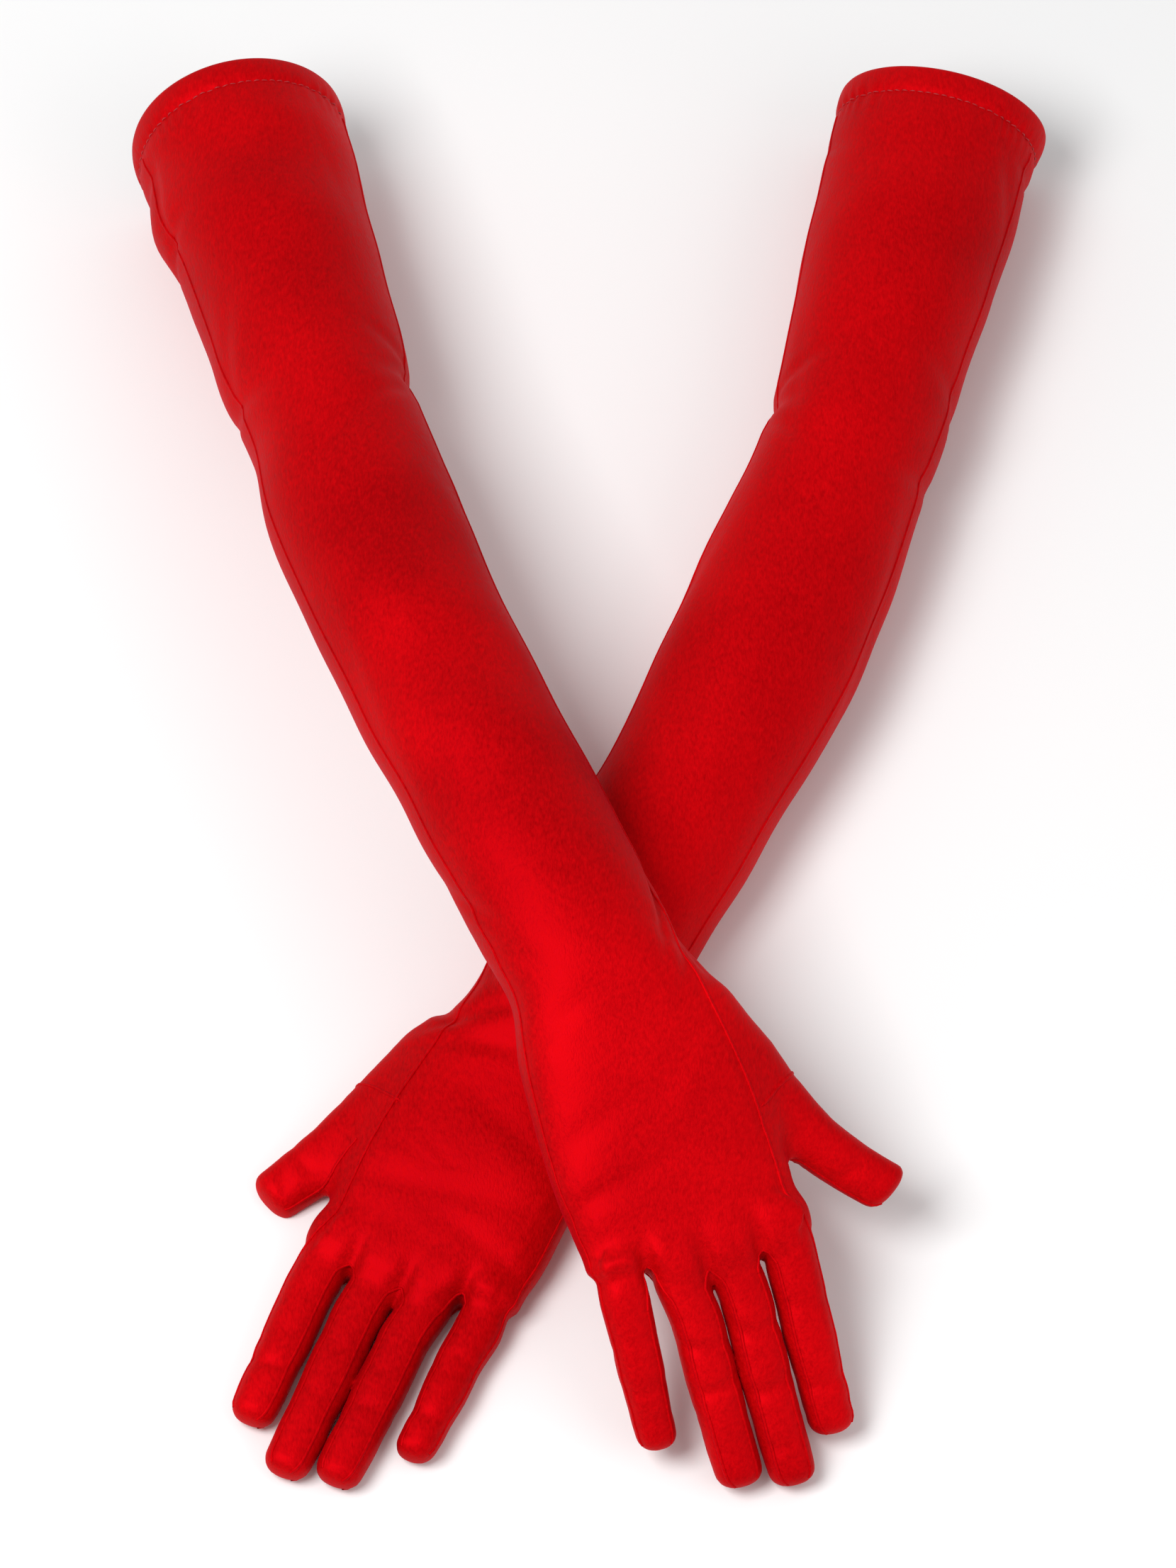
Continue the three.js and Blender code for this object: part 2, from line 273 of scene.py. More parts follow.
class Arm:
    """The middle line and cross frames of one glove, and the map from its straight space."""

    def __init__(self, glove):
        self.side = glove["thumb_side"]
        self.sway = np.array(SWAY[glove["name"]], float)
        self.fullness = np.array(FULLNESS[glove["name"]], float)
        self.lying = glove["lying"]
        line = catmull_rom(np.array(glove["line"], float) + CENTRE_SHIFT)
        length = path_length(line)
        self.s = np.arange(0.0, WEB_AT + 0.5, 1.0)
        at = self.s / WEB_AT * length[-1]
        centre = read_columns(at, length, line)
        along = unit(np.gradient(centre, axis=0))
        if self.lying:
            along = unit(along * [1, 1, 0])
            centre[:, 2] = self.height(self.s) / 2 - ARM_SETTLING
        across = unit(np.cross([0.0, 0.0, 1.0], along))
        self.over = np.cross(along, across)
        self.across = across * self.side
        self.along = along
        self.centre = centre

    def width(self, s):
        return pchip(s, ARM_SHAPE[:, 0], ARM_SHAPE[:, 1]) + pchip(s, *self.fullness.T)

    def height(self, s):
        height = pchip(s, ARM_SHAPE[:, 0], ARM_SHAPE[:, 2])
        if self.lying:
            cuff = 1 - np.clip(s / ELBOW_AT, 0, 1)
            height = height * (1 + (LYING_CUFF_SHARE - 1) * cuff)
        return height

    def squareness(self, s):
        return pchip(s, ARM_SHAPE[:, 0], ARM_SHAPE[:, 3])

    def frame_at(self, s):
        inside = np.clip(s, 0.0, WEB_AT)
        tables = (self.centre, self.across, self.along, self.over)
        centre, across, along, over = (read_columns(inside, self.s, table) for table in tables)
        aside = across * pchip(s, *self.sway.T)[..., None]
        return centre + aside + along * (s - inside)[..., None], across, along, over

    def to_world(self, points):
        centre, across, _, over = self.frame_at(points[:, 1])
        return centre + across * points[:, :1] + over * points[:, 2:]

    def from_world_direction(self, direction, s):
        _, across, along, over = self.frame_at(np.array([float(s)]))
        return unit(np.array([direction @ across[0], direction @ along[0], direction @ over[0]]))


def pchip(x, xs, ys):
    """Smooth monotone reading of a table."""
    h = np.diff(xs)
    slope = np.diff(ys) / h
    m = np.zeros(len(xs))
    same = slope[:-1] * slope[1:] > 0
    weight = 2 * slope[:-1] * slope[1:] / np.where(same, slope[:-1] + slope[1:], 1)
    m[1:-1] = np.where(same, weight, 0)
    m[0], m[-1] = slope[0], slope[-1]
    x = np.clip(x, xs[0], xs[-1])
    i = np.clip(np.searchsorted(xs, x, side="right") - 1, 0, len(h) - 1)
    t = (x - xs[i]) / h[i]
    a = (1 + 2 * t) * (1 - t) ** 2
    b = t * (1 - t) ** 2
    c = t * t * (3 - 2 * t)
    d = t * t * (t - 1)
    return a * ys[i] + b * h[i] * m[i] + c * ys[i + 1] + d * h[i] * m[i + 1]


def heading_vector(glove, heading, slope):
    flat = math.cos(math.radians(slope))
    sideways = math.sin(math.radians(heading)) * flat * glove["thumb_side"]
    return np.array([sideways, -math.cos(math.radians(heading)) * flat, -math.sin(math.radians(slope))])


class Limb:
    """A finger or thumb in the straight space: a rounded tube along one gently bowed line."""

    def __init__(self, name, root, direction, length, shape, bow=0.0, curl=0.0, droop=0.0,
                 blunt=FINGER_BLUNTNESS):
        self.name, self.root, self.direction = name, np.array(root, float), direction
        self.length, self.shape, self.bow, self.curl = length, shape, bow, curl
        self.droop, self.blunt, self.lean_in = droop, blunt, 0.0
        self.over = unit(np.cross(direction, [-1.0, 0.0, 0.0]))
        self.across = np.cross(direction, self.over)
        if self.across[0] < 0:
            self.across = -self.across
        if self.over[2] < 0:
            self.over = -self.over

    def local(self, points):
        p = points - self.root
        t = p @ self.direction
        aside, down = self.lean(t)
        return t, p @ self.across - aside, p @ self.over + down

    def lean(self, t):
        """How far the middle line lies aside from, and below, the straight line from its root."""
        share = np.clip(t / self.length, 0, 1.2)
        return self.bow * share**2 + self.curl * (share**2 - share), self.droop * share**2

    def sizes(self, t):
        end = self.length - self.blunt
        tc = np.minimum(t, end)
        width = np.interp(tc, self.shape[:, 0], self.shape[:, 1])
        height = np.interp(tc, self.shape[:, 0], self.shape[:, 2])
        return tc, width / 2, height / 2

    def field(self, points):
        """Negative inside the tube, and about the distance from it outside."""
        t, u, v = self.local(points)
        tc, half_width, half_height = self.sizes(t)
        g = rounded(u / half_width, v / half_height, TUBE_SQUARENESS)
        beyond = np.maximum(t - tc, 0) / self.blunt + np.maximum(self.shape[0, 0] - t, 0) / ROOT_CAP
        return (rounded(g, beyond, TIP_ROUNDING) - 1) * np.minimum(half_width, half_height)

    def point(self, t, angle, lift=0.0):
        """A point on the tube's surface, in the straight space."""
        tc, half_width, half_height = self.sizes(t)
        power = 2 / TUBE_SQUARENESS
        beyond = np.clip((t - tc) / self.blunt, 0, 0.999)
        shrink = (1 - beyond**TIP_ROUNDING) ** (1 / TIP_ROUNDING)
        aside, down = self.lean(t)
        u = signed_power(np.cos(angle), power) * (half_width * shrink + lift) + aside
        v = signed_power(np.sin(angle), power) * (half_height * shrink + lift) - down
        return self.root + t[:, None] * self.direction + u[:, None] * self.across + v[:, None] * self.over


def make_limbs(glove, arm):
    web_centre, _, _, _ = arm.frame_at(np.array([WEB_AT]))
    limbs = []
    for finger in FINGERS:
        slope = 0.0 if arm.lying else finger["slope"]
        heading = glove["finger_heading"] + finger["splay"]
        direction = arm.from_world_direction(heading_vector(glove, heading, slope), WEB_AT)
        shape = FINGER_SHAPE.copy()
        shape[1:, 0] *= finger["length"]
        along = np.clip(shape[:, 0] / finger["length"], 0, 1)
        shape[:, 1] *= finger["width"] * (1 + (finger["taper"] - 1) * along)
        drop = (LYING_FINGER_HEIGHT / 2 - FINGER_SETTLING - web_centre[0, 2]) if arm.lying else 0.0
        root = [finger["offset"], WEB_AT, drop]
        droop = LYING_DROOP if arm.lying else RAISED_DROOP
        bow, lean = BOWS_AND_LEANS[glove["name"]][finger["name"]]
        limb = Limb(finger["name"], root, direction, finger["length"], shape, bow, droop=droop)
        limb.lean_in = lean
        limbs.append(limb)
    at = WRIST_AT + THUMB_PAST_WRIST
    direction = heading_vector(glove, glove["thumb_heading"], glove["thumb_slope"])
    direction = arm.from_world_direction(direction, at)
    at += glove["thumb_forward"]
    half = arm.width(np.array([at]))[0] / 2
    root = [half - THUMB_TUCK, at, -THUMB_DROP]
    thumb = Limb("thumb", root, direction, glove["thumb_length"], THUMB_SHAPE,
                 curl=glove["thumb_curl"], blunt=THUMB_BLUNTNESS)
    return limbs + [thumb]


def smooth_min(a, b, k):
    """The smaller of two, with the corner between them rounded over k."""
    h = np.clip(0.5 + 0.5 * (b - a) / k, 0, 1)
    return b * (1 - h) + a * h - k * h * (1 - h)


def web_line(across):
    """How far along the glove the web lies, at this distance across it."""
    return WEB_AT - WEB_BACK - LITTLE_WEB_BACK * smoothstep(-across, *LITTLE_WEB_SPAN)


def arm_field(arm, points):
    """Negative inside the arm and the flat of the hand."""
    a, s, o = points[:, 0], points[:, 1], points[:, 2]
    end = web_line(a) - WEB_TAPER + HAND_PAST_WEB
    inside = np.minimum(s, end)
    half_width = arm.width(inside) / 2
    half_height = arm.height(inside) / 2
    g = rounded(a / half_width, o / half_height, arm.squareness(inside))
    beyond = np.maximum(s - end, 0) / WEB_TAPER
    g = np.sqrt(g**2 + beyond**2)
    steep = np.where(np.abs(a) / half_width > np.abs(o) / half_height, half_width, half_height)
    return (g - 1) * np.minimum(steep, STEEPEST)


def glove_field(arm, limbs, points):
    """Negative inside the glove, with fingers and thumb run into the hand."""
    field = arm_field(arm, points)
    hand = np.flatnonzero(points[:, 1] > WRIST_AT - BEFORE_HAND)
    near = points[hand]
    whole = field[hand]
    fingers = limbs[0].field(near)
    for limb in limbs[1:4]:
        fingers = smooth_min(fingers, limb.field(near), WEB_FILLET)
    whole = smooth_min(whole, fingers, KNUCKLE_FILLET)
    field[hand] = smooth_min(whole, limbs[4].field(near), THUMB_FILLET)
    return field


CORNERS = np.array([[i, j, k] for i in (0, 1) for j in (0, 1) for k in (0, 1)])
EDGES = [(a, b) for a in range(8) for b in range(a + 1, 8) if np.abs(CORNERS[a] - CORNERS[b]).sum() == 1]


def surface_nets(field, axes):
    """Closed quad surface of field < 0 on a rectangular grid: one vertex for each crossed cell."""
    inside = field < 0
    count = np.zeros(np.array(field.shape) - 1, np.int8)
    nx, ny, nz = field.shape
    for i, j, k in CORNERS:
        count += inside[i:nx - 1 + i, j:ny - 1 + j, k:nz - 1 + k]
    cells = np.argwhere((count > 0) & (count < 8))
    corner = np.stack([field[tuple((cells + c).T)] for c in CORNERS], 1)
    total = np.zeros((len(cells), 3))
    hits = np.zeros(len(cells))
    for a, b in EDGES:
        va, vb = corner[:, a], corner[:, b]
        crossed = (va < 0) != (vb < 0)
        t = np.where(crossed, va / np.where(crossed, va - vb, 1), 0)
        total += np.where(crossed[:, None], CORNERS[a] + t[:, None] * (CORNERS[b] - CORNERS[a]), 0)
        hits += crossed
    index = cells + total / hits[:, None]
    verts = np.stack([np.interp(index[:, k], np.arange(len(axes[k])), axes[k]) for k in range(3)], 1)
    number = np.full(count.shape, -1, np.int64)
    number[tuple(cells.T)] = np.arange(len(cells))
    quads = []
    for axis in range(3):
        low = [slice(1, -1)] * 3
        high = [slice(1, -1)] * 3
        low[axis] = slice(0, -1)
        high[axis] = slice(1, None)
        first, second = inside[tuple(low)], inside[tuple(high)]
        changed = np.argwhere(first != second)
        leaving = first[tuple(changed.T)]
        place = changed + 1
        place[:, axis] -= 1
        u, v = [(1, 2), (2, 0), (0, 1)][axis]
        ring = []
        for du, dv in ((-1, -1), (0, -1), (0, 0), (-1, 0)):
            cell = place.copy()
            cell[:, u] += du
            cell[:, v] += dv
            ring.append(number[tuple(cell.T)])
        ring = np.stack(ring, 1)
        ring[~leaving] = ring[~leaving][:, ::-1]
        quads.append(ring)
    return verts, np.vstack(quads)


def quad_edges(quads):
    """Each edge once, and how many quads have it."""
    edges = np.sort(np.vstack([quads[:, [k, (k + 1) % 4]] for k in range(4)]), axis=1)
    return np.unique(edges, axis=0, return_counts=True)


def relax(verts, edges):
    """Moves each vertex towards the mean of its neighbours, then back by a little less."""
    count = np.bincount(edges.ravel(), minlength=len(verts)).astype(float)[:, None]
    for step in (RELAX_STRENGTH, -RELAX_STRENGTH * RELAX_RETURN) * RELAX_ROUNDS:
        total = sum_by_index(edges[:, 0], verts[edges[:, 1]], len(verts))
        total += sum_by_index(edges[:, 1], verts[edges[:, 0]], len(verts))
        verts = verts + step * (total / count - verts)
    return verts


def vertex_normals(verts, quads):
    p = verts[quads]
    normal = np.cross(p[:, 2] - p[:, 0], p[:, 3] - p[:, 1])
    total = sum(sum_by_index(quads[:, corner], normal, len(verts)) for corner in range(4))
    return total / np.maximum(np.linalg.norm(total, axis=1, keepdims=True), 1e-12)


# ---- Folds: distance from the rim, degrees round from the thumb side (90 is the back),
# ---- tilt from straight across, half length, half width and depth ----
FOLDS = {
    "right": [
        (21, 174, 10, 13, 4.5, 1.0), (55, 172, 16, 15, 3.0, 1.4), (34, 158, 82, 22, 3.4, 0.8),
        (139, 4, 8, 17, 4.0, 2.2), (130, 26, -24, 16, 3.2, 0.8), (149, 30, 22, 20, 3.2, 0.7),
        (132, 172, -12, 18, 3.6, 1.3), (114, 150, 64, 20, 4.2, 0.5), (160, 66, 38, 26, 5.5, 0.45),
        (366, 14, 66, 15, 2.3, 0.9), (378, 24, 58, 17, 2.2, 0.9), (389, 10, 72, 13, 2.2, 0.8),
        (398, 34, 50, 15, 2.4, 0.6), (352, 168, -52, 18, 3.0, 0.7), (376, 150, -36, 20, 4.0, 0.5),
        (405, 128, 24, 20, 4.5, 0.4), (440, 118, 28, 20, 5.0, 0.5), (462, 128, 18, 17, 4.2, 0.8),
        (470, 74, -26, 18, 4.4, 0.6), (426, 62, 52, 20, 4.5, 0.5), (300, 120, 70, 42, 6.5, 0.35),
        (225, 64, 76, 48, 7.0, 0.35), (262, 150, 84, 40, 5.0, 0.4),
    ],
    "left": [
        (18, 172, 4, 20, 3.6, 1.1), (34, 150, 66, 18, 4.0, 0.5), (26, 20, 12, 16, 4.0, 0.5),
        (138, 4, 6, 18, 4.0, 2.4), (129, 30, -28, 18, 3.2, 0.9), (149, 32, 26, 20, 3.2, 0.8),
        (118, 168, 20, 20, 5.0, 0.8), (152, 168, -16, 18, 4.2, 0.9), (158, 128, -50, 26, 5.5, 0.5),
        (212, 166, 80, 42, 5.0, 0.6), (250, 58, 72, 46, 6.5, 0.4), (310, 132, 74, 40, 6.0, 0.4),
        (402, 14, 22, 13, 3.0, 1.4), (404, 44, -34, 18, 3.4, 0.9), (410, 74, -20, 20, 4.0, 0.6),
        (380, 30, 60, 16, 3.0, 0.7), (436, 110, 30, 22, 5.0, 0.4), (462, 84, -20, 20, 4.6, 0.5),
        (474, 124, 22, 16, 4.2, 0.5), (420, 140, 46, 20, 4.4, 0.5),
    ],
}
# ---- Swells: distance from the rim, degrees round, half length, half width and height ----
SWELLS = {
    "right": [
        (39, 178, 11, 17, 2.4), (116, 178, 14, 24, 1.8), (139, 90, 26, 30, 0.8), (152, 176, 12, 20, -0.8),
        (408, 4, 15, 14, 2.2), (455, 92, 26, 26, 0.8),
    ],
    "left": [
        (44, 176, 18, 22, 0.7), (134, 176, 16, 24, 1.5), (140, 90, 26, 30, 0.8), (178, 178, 16, 20, -0.7),
        (412, 12, 6, 12, 1.4), (455, 92, 26, 26, 0.6),
    ],
}
CUFF_FLARE = {"right": (178, 34, -0.9, 18), "left": (176, 30, 1.2, 9)}  # degrees, spread, mm, reach
# ---- Wrinkles across each finger's back: share of its length, and depth ----
FINGER_WRINKLES = {
    "right": {
        "index": [(0.33, 0.5), (0.74, 0.9)],
        "middle": [(0.31, 1.3), (0.57, 1.4), (0.82, 0.5)],
        "ring": [(0.33, 1.1), (0.53, 1.2), (0.84, 0.4)],
        "little": [(0.26, 0.4), (0.6, 0.5), (0.8, 0.4)],
        "thumb": [(0.42, 0.4), (0.76, 0.7)],
    },
    "left": {
        "index": [(0.5, 0.4), (0.7, 1.0)],
        "middle": [(0.38, 0.4), (0.62, 0.3)],
        "ring": [(0.42, 0.3), (0.62, 0.5)],
        "little": [(0.4, 0.3), (0.74, 1.0)],
        "thumb": [(0.36, 0.4), (0.74, 0.7)],
    },
}
LITTLE_TUCK = {"right": 1.1, "left": 0.25}  # how far the back stands over the little finger's root
WEB_PUCKER = {"right": 1.7, "left": 1.3}


FOLDS_BEGIN = (16, 27)  # distance from the rim over which the folds come in
FOLDS_END = (482, 494)
WAVES = (7, 0.11)  # how many slow waves, and how high each is
SMALL_CREASES = 34
SMALL_FINGER_CREASES = 9
VALLEY_WIDTH = 2.6
VALLEY_LENGTH = 5.5
SHOULDER_ASIDE = 5.5
SHOULDER_WIDTH = 3.0
SHOULDER_LENGTH = 5.0
TUCK_WIDTH = 9.0
LEAN_SPAN = (-4.0, 15.0)  # distance from the root over which a finger comes to its full lean


def gauss(x, width):
    return np.exp(-((x / width) ** 2))


def ring_offset(angle, degrees, radius):
    """Distance round the arm from the line at these degrees."""
    turn = angle - math.radians(degrees)
    return (turn - 2 * math.pi * np.round(turn / (2 * math.pi))) * radius


def crease(ds, dr, tilt, length, width, depth):
    """A soft fold: a valley with a raised lip beside it, turned by tilt degrees from straight across."""
    c, s = math.cos(math.radians(tilt)), math.sin(math.radians(tilt))
    across_fold, along_fold = ds * c - dr * s, ds * s + dr * c
    x = across_fold / width
    return -depth * (1 - 0.9 * x) * np.exp(-x * x) * gauss(along_fold, length)


def slow_waves(s, angle, random, count, height):
    """Broad shallow unevenness, as loosely filled cloth has."""
    total = np.zeros(len(s))
    for _ in range(count):
        waves = random.uniform(1 / 95, 1 / 38) * 2 * math.pi
        turns = random.integers(1, 4)
        total += height * np.cos(waves * s + turns * angle + random.uniform(0, 2 * math.pi))
    return total


def arm_folds(arm, straight, glove):
    """The folds and swells of the arm and hand, and small creases scattered between them."""
    a, s, o = straight.T
    half_width, half_height = arm.width(s) / 2, arm.height(s) / 2
    angle = np.arctan2(o / half_height, a / half_width)
    radius = np.sqrt(half_width * half_height)
    random = np.random.default_rng(glove["seed"])
    move = slow_waves(s, angle, random, *WAVES)
    for at, degrees, tilt, length, width, depth in FOLDS[glove["name"]]:
        move += crease(s - at, ring_offset(angle, degrees, radius), tilt, length, width, depth)
    for at, degrees, length, width, height in SWELLS[glove["name"]]:
        move += height * gauss(s - at, length) * gauss(ring_offset(angle, degrees, radius), width)
    for _ in range(SMALL_CREASES):
        at, degrees = random.uniform(30, 470), random.uniform(-180, 180)
        tilt = 90 + random.uniform(-38, 38)
        length, width = random.uniform(14, 40), random.uniform(3.2, 6.5)
        ring = ring_offset(angle, degrees, radius)
        move += crease(s - at, ring, tilt, length, width, random.uniform(0.08, 0.3))
    begin, full = (RIM_AT + depth for depth in FOLDS_BEGIN)
    return move * smoothstep(s, begin, full) * (1 - smoothstep(s, *FOLDS_END))


def web_folds(limbs, straight, glove):
    """Puckers where the fingers part, and the tuck over the little finger's root."""
    a, s, o = straight.T
    back = smoothstep(o, -2, 5)
    move = np.zeros(len(s))
    for near, far in zip(limbs[:3], limbs[1:4]):
        middle = (near.root[0] + far.root[0]) / 2
        web = web_line(np.array([middle]))[0]
        away = a - middle
        valley = gauss(away, VALLEY_WIDTH) * gauss(s - web, VALLEY_LENGTH)
        shoulders = gauss(np.abs(away) - SHOULDER_ASIDE, SHOULDER_WIDTH)
        shoulders *= gauss(s - web + 1.0, SHOULDER_LENGTH)
        move += WEB_PUCKER[glove["name"]] * (0.2 * shoulders - valley) * (0.35 + 0.65 * back)
    little = limbs[3]
    across = gauss(a - little.root[0] + 1.0, TUCK_WIDTH) * back
    step = s - (WEB_AT - LITTLE_WEB_BACK - 1.0)
    move += LITTLE_TUCK[glove["name"]] * across * (gauss(step + 2.2, 2.6) - gauss(step - 2.0, 3.2))
    return move * (1 - smoothstep(s, WEB_AT + 8, WEB_AT + 16))


def finger_folds(limbs, straight, glove):
    """Wrinkles across the back of each finger and thumb, and small creases all round."""
    fields = np.stack([limb.field(straight) for limb in limbs])
    nearest = fields.argmin(0)
    random = np.random.default_rng(glove["seed"] + 1)
    move = np.zeros(len(straight))
    for number, limb in enumerate(limbs):
        t, u, v = limb.local(straight)
        _, half_width, half_height = limb.sizes(t)
        angle = np.arctan2(v / half_height, u / half_width)
        here = (nearest == number) * smoothstep(t, 4, 14)
        for share, depth in FINGER_WRINKLES[glove["name"]][limb.name]:
            slant = random.uniform(-0.22, 0.22)
            bow = 2.4 * np.cos(angle) ** 2
            x = t - share * limb.length + bow + slant * u
            width = random.uniform(2.3, 3.1)
            lobe = gauss(ring_offset(angle, 90 + random.uniform(-12, 12), 1.0), 1.15)
            move += here * lobe * -0.8 * depth * (1 - 0.6 * x / width) * gauss(x, width)
        for _ in range(SMALL_FINGER_CREASES):
            at, degrees = random.uniform(0.12, 0.92) * limb.length, random.uniform(-180, 180)
            tilt = random.uniform(-60, 60)
            ring = ring_offset(angle, degrees, 8.0)
            move += here * crease(t - at, ring, tilt, random.uniform(3, 7), random.uniform(1.8, 2.8),
                                  random.uniform(0.08, 0.28))
    return move


def drape(arm, limbs, straight, glove):
    """How far each point of the surface is moved along its normal by folds, slack and puckers."""
    move = arm_folds(arm, straight, glove)
    hand = np.flatnonzero(straight[:, 1] > WRIST_AT)
    move[hand] += web_folds(limbs, straight[hand], glove) + finger_folds(limbs, straight[hand], glove)
    return move


def hand_net(arm, limbs):
    """The hand and wrist in the straight space, open where the sleeve begins."""
    across = np.arange(*ACROSS_CELLS) * ACROSS_STEP - ACROSS_NUDGE
    along = np.arange(SLEEVE_END - CELLS_BEFORE_SLEEVE * HAND_STEP, GRID_END, HAND_STEP)
    height = np.arange(*HEIGHT_CELLS) * HEIGHT_STEP
    grid = np.stack(np.meshgrid(across, along, height, indexing="ij"), -1)
    field = glove_field(arm, limbs, grid.reshape(-1, 3)).reshape(grid.shape[:3])
    field[:, 0, :] = 1.0
    verts, quads = surface_nets(field, (across, along, height))
    verts = relax(verts, quad_edges(quads)[0])
    quads = quads[verts[quads][:, :, 1].min(1) > SLEEVE_END]
    used, quads = np.unique(quads, return_inverse=True)
    return verts[used], quads.reshape(-1, 4)


def open_ring(arm, verts, quads):
    """The hand's open edge, in order round the arm, with each point's angle."""
    edges, count = quad_edges(quads)
    ring = np.unique(edges[count == 1])
    angle = section_angle(arm, verts[ring])
    order = np.argsort(angle)
    return ring[order], angle[order]


def section_angle(arm, points):
    """How far round its ring each point lies; the reverse of section."""
    a, s, o = points.T
    n = arm.squareness(s)
    side, up = a / (arm.width(s) / 2), o / (arm.height(s) / 2)
    return np.arctan2(signed_power(up, n / 2), signed_power(side, n / 2))


def cuff_shape(glove, s, angle):
    """How far the cuff stands off its plain outline: its flare, and the hem's puckers."""
    degrees, spread, flare, reach = CUFF_FLARE[glove["name"]]
    turn = ring_offset(angle, degrees, 180 / math.pi)
    random = np.random.default_rng(glove["seed"] + 2)
    depth = s - RIM_AT
    stand = flare * gauss(turn, spread) * gauss(depth, reach)
    stand = stand + 0.35 * np.cos(3 * angle + random.uniform(0, 6)) * gauss(depth, 20)
    ripple = np.cos(PUCKERS * angle + 2.2 * np.sin(5 * angle) + 1.3 * np.sin(11 * angle))
    strength = 0.5 + 0.5 * np.sin(4 * angle + random.uniform(0, 6))
    return stand + (0.1 + 0.24 * strength) * ripple * gauss(depth - STITCH_LINE - 1.0, 4.5)


def section(arm, glove, s, stand, angle):
    """One ring of the arm in the straight space, standing off its outline by stand."""
    s = np.full(len(angle), float(s))
    stand = stand + cuff_shape(glove, s, angle)
    power = 2 / arm.squareness(s)
    a = (arm.width(s) / 2 + stand) * signed_power(np.cos(angle), power)
    o = (arm.height(s) / 2 + stand) * signed_power(np.sin(angle), power)
    return np.stack([a, s, o], 1)


def ring_quads(rows):
    """Quads between each row of point numbers and the next, round the ring."""
    quads = []
    for first, second in zip(rows[:-1], rows[1:]):
        quads.append(np.stack([first, second, np.roll(second, -1), np.roll(first, -1)], 1))
    return np.vstack(quads)


def sleeve_rows(arm, glove, verts, ring, angle):
    """Rings from the hand's open edge to the cuff's rim."""
    hem_top = RIM_AT + HEM_OUTSIDE[0][0]
    steps = round((SLEEVE_END - hem_top) / LOFT_STEP)
    rows = []
    edge = verts[ring]
    missing = edge - section(arm, glove, edge[:, 1].mean(), 0.0, angle)
    for k, s in enumerate(np.linspace(SLEEVE_END, hem_top, steps + 1)[1:-1]):
        rows.append(section(arm, glove, s, 0.0, angle) + missing * [1, 0, 1] * 0.5 ** (k + 1))
    for depth, stand in HEM_OUTSIDE:
        rows.append(section(arm, glove, RIM_AT + depth, stand, angle))
    return rows


def place(arm, points, floor):
    """The points in the world, lifted to the floor height where they would lie below it."""
    world = arm.to_world(points)
    world[:, 2] = np.maximum(world[:, 2], floor)
    return world


class Surface:
    """One glove's cloth: straight points, the same points in the world, quads, normals and labels."""

    def __init__(self, glove):
        self.glove = glove
        self.arm = Arm(glove)
        self.limbs = make_limbs(glove, self.arm)
        verts, quads = hand_net(self.arm, self.limbs)
        ring, self.angle = open_ring(self.arm, verts, quads)
        rows = sleeve_rows(self.arm, glove, verts, ring, self.angle)
        numbers = [ring] + [len(verts) + k * len(ring) + np.arange(len(ring)) for k in range(len(rows))]
        self.straight = np.vstack([verts] + rows)
        self.plain = self.arm.to_world(lean_fingers(self.limbs, self.straight))
        self.quads = np.vstack([self.facing_out(part) for part in (quads, ring_quads(numbers))])
        normals = vertex_normals(self.plain, self.quads)
        move = drape(self.arm, self.limbs, self.straight, glove)
        self.world = self.plain + normals * move[:, None]
        self.world[:, 2] = np.maximum(self.world[:, 2], FLOOR_CLEARANCE)
        self.normals = vertex_normals(self.world, self.quads)
        self.label = divide(self.arm, self.limbs, self.straight[self.quads].mean(1))
        self.tree = BVHTree.FromPolygons(self.straight.tolist(), self.quads.tolist())

    def facing_out(self, quads):
        """The quads turned so that they face away from the arm's line."""
        p = self.plain[quads]
        normal = np.cross(p[:, 2] - p[:, 0], p[:, 3] - p[:, 1])
        middle = self.straight[quads].mean(1)
        near_arm = middle[:, 1] < WRIST_AT + 10
        outward = p.mean(1) - self.arm.frame_at(middle[:, 1])[0]
        flip = np.einsum("ij,ij->i", normal, outward)[near_arm].mean() < 0
        return quads[:, ::-1] if flip else quads

    def on_cloth(self, points):
        """Each straight point dropped onto the cloth: its place in the world and the cloth's normal."""
        spots, normals = [], []
        for point in points:
            hit, _, face, _ = self.tree.find_nearest(Vector(point.tolist()))
            corners = self.quads[face]
            away = np.linalg.norm(self.straight[corners] - np.array(hit), axis=1)
            weight = 1 / (away + 0.02) ** 2
            weight /= weight.sum()
            moved = (self.world[corners] - self.plain[corners]) * weight[:, None]
            spot = lean_fingers(self.limbs, np.array([hit]))
            spots.append(self.arm.to_world(spot)[0] + moved.sum(0))
            normals.append((self.normals[corners] * weight[:, None]).sum(0))
        return np.array(spots), unit(np.array(normals))


def lean_fingers(limbs, points):
    """The same points with each finger stood over towards its neighbour."""
    nearest = np.argmin([limb.field(points) for limb in limbs], 0)
    moved = points.copy()
    for number, limb in enumerate(limbs):
        t, _, _ = limb.local(points)
        moved[:, 0] += (nearest == number) * limb.lean_in * smoothstep(t, *LEAN_SPAN)
    return moved


PIECES = ["sleeve", "wrist", "hand", "index", "middle", "ring", "little", "thumb"]
FIRST_LIMB = PIECES.index("index")


